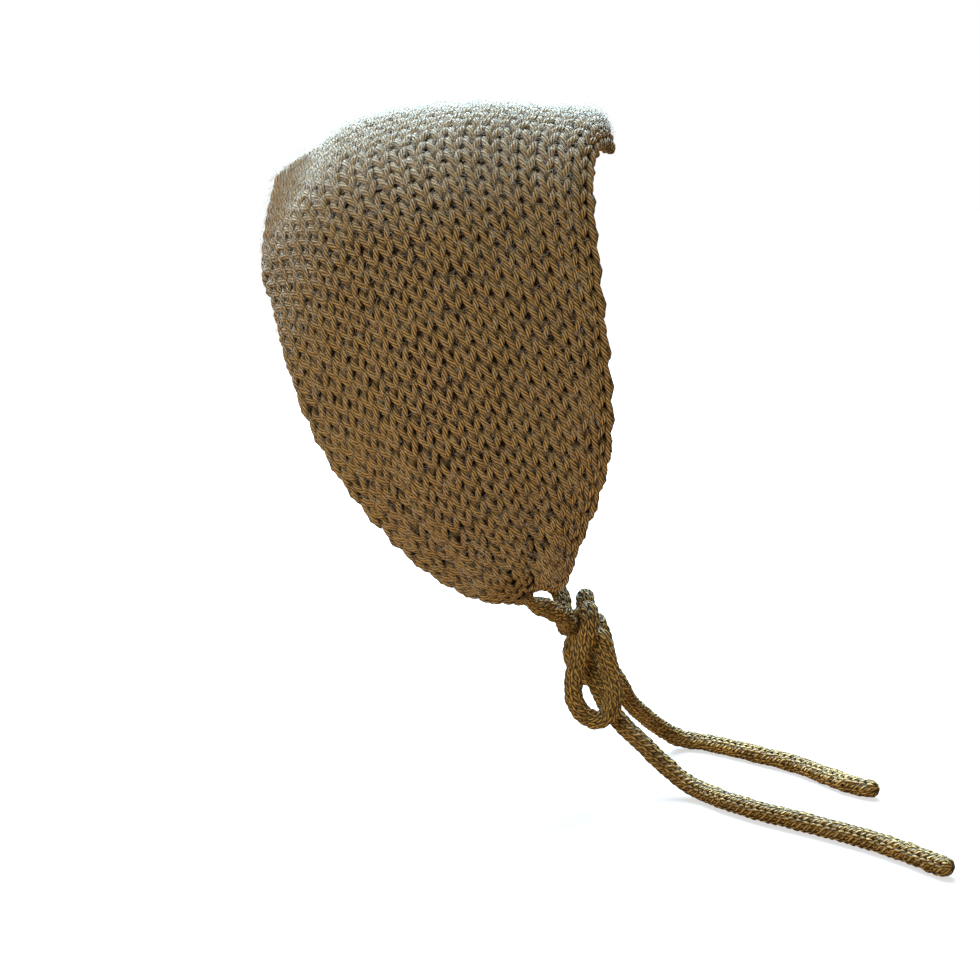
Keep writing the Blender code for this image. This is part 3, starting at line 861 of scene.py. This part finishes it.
class Knitting:
    """The rows of the hood, and where each point of their yarn lies."""

    def __init__(self, strip, hood, yarn):
        self.strip = strip
        self.hood = hood
        self.yarn = yarn
        wide = np.hypot(strip.widths / hood.wale_width, hood.end_wales)
        limits = np.logaddexp(-wide * LIMIT_SHARPNESS, -hood.wales * LIMIT_SHARPNESS)
        self.fitting = -limits / LIMIT_SHARPNESS
        self.half_length = strip.lengths[-1]
        self.starts = self.row_starts()

    def near_end(self, lengths):
        """0 over the crown and 1 where a tie begins."""
        return ramp(np.abs(lengths) / self.half_length, *END_ZONE)

    def height(self, lengths):
        """The height of a row at a place along the strip."""
        end_gain = self.hood.end_row_height - self.hood.row_height
        return self.hood.row_height + end_gain * self.near_end(lengths)

    def row_starts(self):
        """Where each row begins, from the left tie to the right tie."""
        lengths = np.linspace(-self.half_length, self.half_length, LENGTH_SAMPLES)
        rows = np.concatenate(([0.0], np.cumsum(np.diff(lengths) / self.height(lengths[1:]))))
        count = round(rows[-1])
        return np.interp(np.arange(count + 1) * rows[-1] / count, rows, lengths)

    def row_size(self, row):
        """Where a row begins, how high it is, and its number of stitches, which is odd."""
        start = self.starts[row]
        fitting = np.interp(start, self.strip.lengths, self.fitting)
        count = 2 * int((fitting - 1) / 2 + COUNT_ROUNDING) + 1
        return start, self.height(start), max(FEWEST_WALES, count)

    def course(self, row, loop):
        """The yarn of one row: its places, outward directions, radii and heights."""
        start, height, count = self.row_size(row)
        numbers = np.arange(count) - (count - 1) / 2
        across = np.append((numbers[:, None] + loop[None, :-1, 0]).ravel(), count / 2)
        up = np.append(np.tile(loop[:-1, 1], count), loop[0, 1])
        out = np.append(np.tile(loop[:-1, 2], count), loop[0, 2])
        slots = np.arange(count + 1) - count / 2
        lift = np.interp(across, slots, wavering(count + 1, LIFT_WAVER, 2 * row))
        lean = np.interp(across, slots, wavering(count + 1, LEAN_WAVER, 2 * row + 1))
        return self.place(across + lean, up + lift, out, count, start, height)

    def turn(self, row, side):
        """The edge loop that carries the yarn from one row up to the next."""
        start, height, count = self.row_size(row)
        across, up, out = np.array(EDGE_TURN).T
        return self.place(side * (count / 2 + across), up, out, count, start, height)

    def place(self, across, up, out, count, start, height):
        """Lay points of a row on the strip."""
        lengths = start + up * height
        from_crown = np.abs(lengths)
        rows = np.interp(lengths, self.strip.lengths, np.arange(len(self.strip.lengths), dtype=float))
        fitting = np.interp(lengths, self.strip.lengths, self.fitting)
        spare = 0.5 - count / (2 * fitting)
        edge = ramp(np.abs(across), count / 2 - EDGE_WALES, count / 2)
        share = across / fitting + np.sign(across) * edge * spare
        widths = np.interp(lengths, self.strip.lengths, self.strip.widths)
        sewn = ramp(share, *SEAM_SIDE) * (from_crown < SEAM_LENGTH)
        share -= sewn * SEAM_ROOM * self.yarn.diameter / widths
        share *= 1 - END_PINCH * ramp(from_crown - self.half_length, *PINCHED)
        places, outward = self.strip.read(rows, 0.5 + share)
        crown = ramp(from_crown / self.half_length, *CROWN_REACH)
        full = self.yarn.diameter * (1 + CROWN_YARN * crown)
        diameter = full + (self.yarn.cord_diameter - full) * self.near_end(lengths)
        past = np.clip(lengths - self.half_length, 0.0, None)
        places = places + outward * (out * diameter - WALL / 2)[:, None] - past[:, None] * END_DROP
        return places, outward, diameter / 2, out

    def yarn_path(self, first, last, loop):
        """The yarn of several rows in one piece, back and forth."""
        parts = []
        for row in range(first, last):
            side = 1 if (row - first) % 2 == 0 else -1
            parts.append([group[::side] for group in self.course(row, loop)])
            if row < last - 1:
                parts.append(self.turn(row, side))
        return [np.concatenate(group) for group in zip(*parts)]


def backing_sheet(strip):
    """A thin closed layer in the middle of the fabric, near-black as painted shade in the holes."""
    shape = (BACKING_ROWS + 1, BACKING_COLUMNS + 1)
    rows = np.linspace(0, 2 * STRIP_ROWS, shape[0])
    columns = np.linspace(BACKING_EDGE, 1 - BACKING_EDGE, shape[1])
    rows, columns = np.meshgrid(rows, columns, indexing="ij")
    places, outward = strip.read(rows.ravel(), columns.ravel())
    middle = places - outward * (WALL / 2 + BACKING_SINK)
    vertices = np.concatenate((middle + outward * BACKING_HALF, middle - outward * BACKING_HALF))
    index = np.arange(len(middle)).reshape(shape)
    under = len(middle)
    faces = []
    for row in range(BACKING_ROWS):
        for column in range(BACKING_COLUMNS):
            a, b = index[row, column], index[row, column + 1]
            c, d = index[row + 1, column + 1], index[row + 1, column]
            faces.append((a, b, c, d))
            faces.append((a + under, d + under, c + under, b + under))
    rim = list(index[0]) + list(index[1:, -1]) + list(index[-1, -2::-1]) + list(index[-2:0:-1, 0])
    for here, there in zip(rim, rim[1:] + rim[:1]):
        faces.append((there, here, here + under, there + under))
    return add_piece("painted_shade_sheet", vertices, faces, shade_sheet_material("painted_shade_sheet"))


def stray_fibres(strip, yarn):
    """Fine fibres that curl out of the yarn over the outside of the hood, most of them on the crown."""
    chance = np.random.default_rng(FIBRE_SEED)
    count = yarn.fibres
    spread = chance.uniform(-FIBRE_ENDS, FIBRE_ENDS, count)
    rows = (1 + spread * (FIBRE_EVENNESS + (1 - FIBRE_EVENNESS) * spread ** 2)) * STRIP_ROWS
    places, outward = strip.read(rows, chance.uniform(*FIBRE_BAND, count))
    heading = unit(np.cross(outward, chance.normal(size=(count, 3))))
    length = (yarn.fibre_length * chance.uniform(*FIBRE_LENGTHS, count))[:, None]
    rise = chance.uniform(*FIBRE_RISE, count)[:, None]
    turned = np.cross(outward, heading) * chance.normal(0.0, FIBRE_CURL, count)[:, None]
    tip_rise = rise * chance.uniform(*FIBRE_TIP_RISE, count)[:, None]
    start = places - outward * yarn.fibre_thickness
    middle = start + length * (heading * 0.5 + outward * rise)
    end = start + length * (heading + turned + outward * tip_rise)
    side = unit(np.cross(end - start, outward)) * yarn.fibre_thickness / 2
    lift = outward * yarn.fibre_thickness / 2
    ring = (middle + side, middle + lift - side * 0.5, middle - lift - side * 0.5)
    vertices = np.stack((start, *ring, end), axis=1)
    faces = np.array(FIBRE_FACES)[None] + np.arange(count)[:, None, None] * vertices.shape[1]
    return add_piece("stray_fibres", vertices.reshape(-1, 3), faces.reshape(-1, 3).tolist(),
                     fibre_material("loose_fibre", yarn))


class BONNET_OT_hood(bpy.types.Operator):
    """Knit the hood row by row, from one tie over the crown to the other"""

    bl_idname = "bonnet.hood"
    bl_label = "Knit hood"

    def execute(self, context):
        yarn = context.scene.bonnet_yarn
        strip = Strip()
        knitting = Knitting(strip, context.scene.bonnet_hood, yarn)
        look = yarn_material("hood_yarn", yarn, yarn.yarn_colour, yarn.strands, yarn.strand_twist, yarn.sheen)
        loop = whole_loop(HOOD_LOOP_POINTS)
        pieces = []
        first = 0
        for name, share in HOOD_PIECES:
            last = round((len(knitting.starts) - 1) * share)
            path, outward, radii, heights = knitting.yarn_path(first, last, loop)
            pieces.append(yarn_piece(name, path, outward, radii, heights, 1.0, look))
            first = last
        pieces.append(stray_fibres(strip, yarn))
        backing = backing_sheet(strip)
        for piece in pieces + [backing]:
            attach(piece, ROOT)
        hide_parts("hood")
        return {"FINISHED"}


def on_side(places, side):
    """Places measured out from the centre plane, as points on the given side."""
    return [np.array((side * place.out, place.back, place.up)) for place in places]


def leave(name, side):
    """The first two points of a cord that comes out of the knot."""
    knot, port = on_side((KNOT, PORTS[name]), side)
    offset = port * TIE_DIAMETER
    return [knot + offset + unit(offset) * away for away in (GAP, GAP + LEAD * TIE_DIAMETER)]


def into_knot(name, side):
    """The last points of a cord that goes into the knot."""
    knot, port = on_side((KNOT, PORTS[name]), side)
    return leave(name, side)[::-1] + [knot + port * TIE_DIAMETER * INTO_KNOT]


def cord_line(points):
    """Points at even steps of a smooth curve through a route, with a frame that doesn't spin."""
    keys = distances(points)
    fine = spline(keys, points, np.linspace(0.0, keys[-1], CORD_SAMPLES))
    along = distances(fine)
    at = np.linspace(0.0, along[-1], round(along[-1] / CORD_STEP) + 1)
    line = read_line(fine, along, at)
    forward = unit(np.gradient(line, axis=0))
    side = np.zeros_like(line)
    side[0] = unit(np.cross(forward[0], FIRST_UP))
    for number in range(1, len(line)):
        side[number] = unit(side[number - 1] - forward[number] * (side[number - 1] @ forward[number]))
    return at, line, side, np.cross(forward, side)


class CordKnitting:
    """Round cords, of stitches that wind around a cord's line in one long spiral."""

    def __init__(self, yarn, ties):
        self.diameter = yarn.cord_diameter
        self.ties = ties
        self.look = yarn_material("cord_yarn", yarn, ties.colour, ties.strands, ties.strand_twist, ties.sheen)
        self.loop = whole_loop(CORD_LOOP_POINTS)

    def knit(self, name, points, start, end, full=1.0):
        """Knit one cord. Gives the piece, its line and its length.

        start and end give how thick it is there, as a share of its diameter, and how long it stays so; full
        is its thickness in between. An end of None is closed and free.
        """
        ties = self.ties
        at, line, side, top = cord_line(points)
        length = at[-1]
        rows = max(2, round(length / (ties.row_height * full) - LAST_ROW))
        stitches = rows * ties.wales
        points_each = len(self.loop) - 1
        across = np.repeat(np.arange(stitches), points_each) + np.tile(self.loop[:-1, 0], stitches) + 0.5
        up = np.tile(self.loop[:-1, 1], stitches)
        out = np.tile(self.loop[:-1, 2], stitches) * ties.relief
        out += np.repeat(wavering(stitches, ties.unevenness, len(name)), points_each)
        up += np.repeat(wavering(stitches, ties.unevenness * UP_WAVER, len(name) + 1), points_each)
        height = length / (rows + LAST_ROW)
        lengths = np.clip((across / ties.wales - 0.5 / ties.wales + up) * height, 0.0, length)
        thickness = self.thickness(lengths, length, start, end, full)
        middle = TIE_DIAMETER / 2 - (CORD_SINK + RELIEF_SINK * ties.relief) * self.diameter
        reach = (middle + out * self.diameter) * thickness
        turn = across / ties.wales * 2 * np.pi
        sideways = read_line(side, at, lengths) * np.cos(turn)[:, None]
        upwards = read_line(top, at, lengths) * np.sin(turn)[:, None]
        outward = unit(sideways + upwards)
        path = read_line(line, at, lengths) + outward * reach[:, None]
        radii = np.full(len(path), self.diameter / 2) * (THIN_YARN + (1 - THIN_YARN) * thickness)
        piece = yarn_piece(name, path, outward, radii, out, CORD_FLATNESS, self.look)
        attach(piece, ROOT)
        return piece, line, float(length)

    @staticmethod
    def thickness(lengths, length, start, end, full):
        """How thick a cord is at each place along it, as a share of its diameter."""
        share, hold = start
        grown = share + (1 - share) * np.clip(lengths - hold, 0.0, None) / SQUEEZE_LENGTH
        thickness = np.minimum(full, grown)
        if end is None:
            to_tip = np.clip((length - lengths) / (TIE_DIAMETER * TIP_LENGTH), 0.0, 1.0)
            return thickness * np.sqrt(np.clip(1 - (1 - to_tip) ** 2, TIP_FLOOR, 1.0))
        share, hold = end
        left = share + (1 - share) * np.clip(length - lengths - hold, 0.0, None) / SQUEEZE_LENGTH
        return np.minimum(thickness, left)


def wound_knot(knitting):
    """The turns of cord that hold the bow together."""
    turns = np.linspace(*KNOT_WINDS, KNOT_POINTS)
    opened = np.minimum(turns - KNOT_CLOSED[0], KNOT_CLOSED[1] - turns) * KNOT_OPENING
    reach = KNOT_TURN * smooth(opened)
    angles = 2 * np.pi * turns
    places = np.stack((KNOT_LAY * (turns - 1), -reach * np.sin(angles), reach * np.cos(angles)), axis=1)
    squeezed = (KNOT_SQUEEZE, 0.0)
    piece, _, _ = knitting.knit("knit_bow_knot", np.array(KNOT) + places, squeezed, squeezed, KNOT_CORD)
    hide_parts("bow_knot")
    return piece


class BONNET_OT_ties(bpy.types.Operator):
    """Knit the cords of both ties: standing parts, loops of the bow and free tails"""

    bl_idname = "bonnet.ties"
    bl_label = "Knit ties"

    def execute(self, context):
        knitting = CordKnitting(context.scene.bonnet_yarn, context.scene.bonnet_ties)
        knot = wound_knot(knitting)
        at_root = (ROOT_SQUEEZE, ROOT_HOLD)
        in_knot = (KNOT_SQUEEZE, KNOT_HOLD)
        for name, side, loop_route, tail_route in SIDES:
            standing = on_side(STANDING_ROUTE, side) + into_knot("standing", side)
            around = into_knot("loop_back", side)[::-1] + on_side(loop_route, side)
            around += into_knot("loop_front", side)
            hanging = into_knot("tail", side)[::-1] + on_side(tail_route, side)
            for node, route, start, end, far_end, lay in (
                    (f"tie_{name}_standing", standing, at_root, in_knot, "knot", "taut"),
                    (f"bow_loop_{name}", around, in_knot, in_knot, "object", "hanging"),
                    (f"tie_{name}_tail", hanging, in_knot, None, "bare", "loose")):
                piece, line, length = knitting.knit("knit_" + node, np.array(route), start, end)
                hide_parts(node)
                held = [knot] if node == "tie_right_standing" else []
                path = [tuple(point) for point in line[::PATH_STRIDE]] + [tuple(line[-1])]
        return {"FINISHED"}


class BONNET_OT_stage(bpy.types.Operator):
    """Set up the camera, floor and light"""

    bl_idname = "bonnet.stage"
    bl_label = "Set stage"

    def execute(self, context):
        scene = context.scene
        stage = scene.bonnet_stage
        camera = bpy.data.objects.new("camera", bpy.data.cameras.new("camera"))
        camera.location = stage.camera_place
        camera.rotation_euler = Euler((math.pi / 2 - stage.camera_dip, 0.0, -math.pi / 2))
        camera.data.lens = stage.lens
        camera.data.clip_start = 0.01
        scene.collection.objects.link(camera)
        scene.camera = camera
        corners = ((-1, -1), (1, -1), (1, 1), (-1, 1))
        floor = add_piece("floor", [(x * stage.floor_reach, y * stage.floor_reach, FLOOR_HEIGHT)
                                    for x, y in corners], [(0, 1, 2, 3)], floor_material("pale_floor"))
        area_light("key", stage.key_place, stage.key_size, stage.key_power, KEY_COLOUR)
        area_light("top", stage.top_place, stage.key_size, stage.top_power, TOP_COLOUR)
        area_light("fill", stage.fill_place, stage.fill_size, stage.fill_power, FILL_COLOUR)
        scene.world = studio_world("studio", stage.sky)
        scene.view_settings.view_transform = "Standard"
        return {"FINISHED"}


def area_light(name, place, size, power, colour):
    """A soft square light that looks at the hood."""
    data = bpy.data.lights.new(name, "AREA")
    data.size = size
    data.energy = power
    data.color = colour
    light = bpy.data.objects.new(name, data)
    light.location = place
    light.rotation_euler = (Vector(LIGHT_AIM) - light.location).to_track_quat("-Z", "Y").to_euler()
    bpy.context.scene.collection.objects.link(light)


class BONNET_PT_panel(bpy.types.Panel):
    """The steps that make the bonnet"""

    bl_idname = "BONNET_PT_panel"
    bl_label = "Bonnet"
    bl_space_type = "VIEW_3D"
    bl_region_type = "UI"
    bl_category = "Bonnet"

    def draw(self, context):
        for step in STEPS:
            self.layout.operator(step.bl_idname)


STEPS = (BONNET_OT_stage, BONNET_OT_ties, BONNET_OT_hood)
GROUPS = {"bonnet_yarn": YarnSettings, "bonnet_hood": HoodSettings, "bonnet_ties": TieSettings,
          "bonnet_stage": StageSettings}


def register():
    """Add the settings, steps and panel to Blender."""
    for group in GROUPS.values():
        bpy.utils.register_class(group)
    for name, group in GROUPS.items():
        setattr(bpy.types.Scene, name, bpy.props.PointerProperty(type=group))
    for step in STEPS:
        bpy.utils.register_class(step)
    bpy.utils.register_class(BONNET_PT_panel)


def unregister():
    """Take them out again."""
    bpy.utils.unregister_class(BONNET_PT_panel)
    for step in reversed(STEPS):
        bpy.utils.unregister_class(step)
    for name, group in GROUPS.items():
        delattr(bpy.types.Scene, name)
        bpy.utils.unregister_class(group)


def main():
    """Make the bonnet and its stage."""
    register()
    bpy.ops.bonnet.stage()
    bpy.ops.bonnet.ties()
    bpy.ops.bonnet.hood()


if __name__ == "__main__":
    main()
